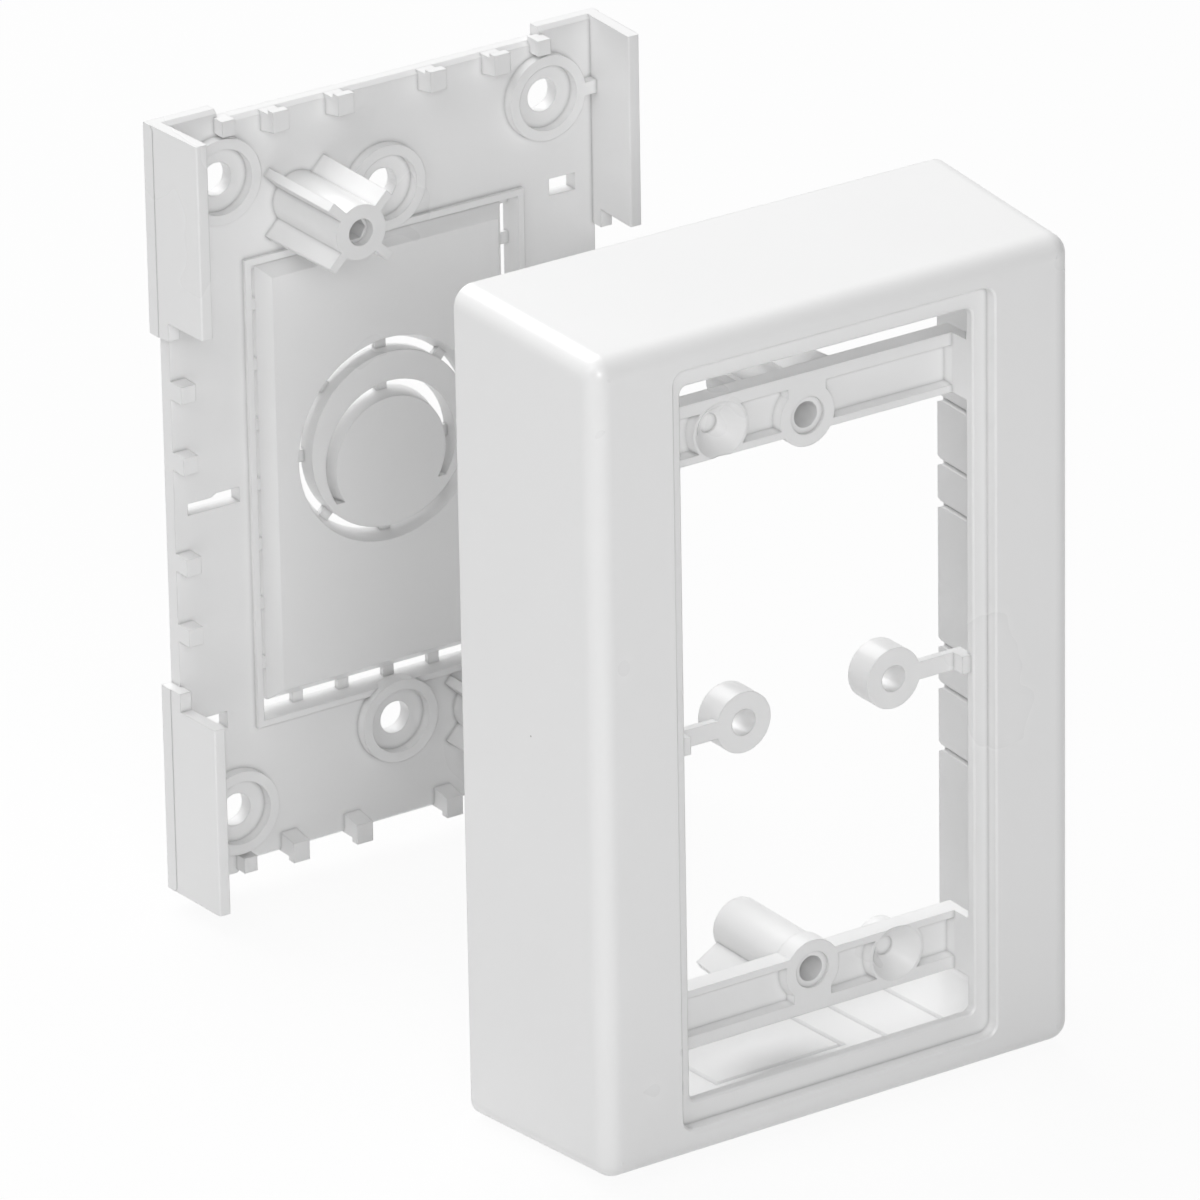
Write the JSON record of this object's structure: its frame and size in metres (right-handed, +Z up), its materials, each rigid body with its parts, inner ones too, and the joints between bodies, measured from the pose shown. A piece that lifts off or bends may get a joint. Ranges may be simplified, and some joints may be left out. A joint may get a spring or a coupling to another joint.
{
  "type": "surface raceway outlet box",
  "caption": "White moulded one-gang surface outlet box: a wall base with corner tabs, screw posts and knock-outs, and a lift-off cover with a device opening and screw bars.",
  "frame": {"origin": "centre of the base's back face, on the wall plane", "axes": "+X to the right, +Y into the wall, +Z up the wall"},
  "size_m": [0.0824, 0.1152, 0.1248],
  "materials": {
    "white_abs": "satin moulded, fine texture"
  },
  "bodies": {
    "base": {"wall_base": "white_abs"},
    "cover": {"box_cover": "white_abs"}
  },
  "joints": [
    {"name": "cover_lift", "type": "slide", "parent": "base", "child": "cover", "axis": [0, 1, 0], "range_m": [0, 0.084]}
  ]
}
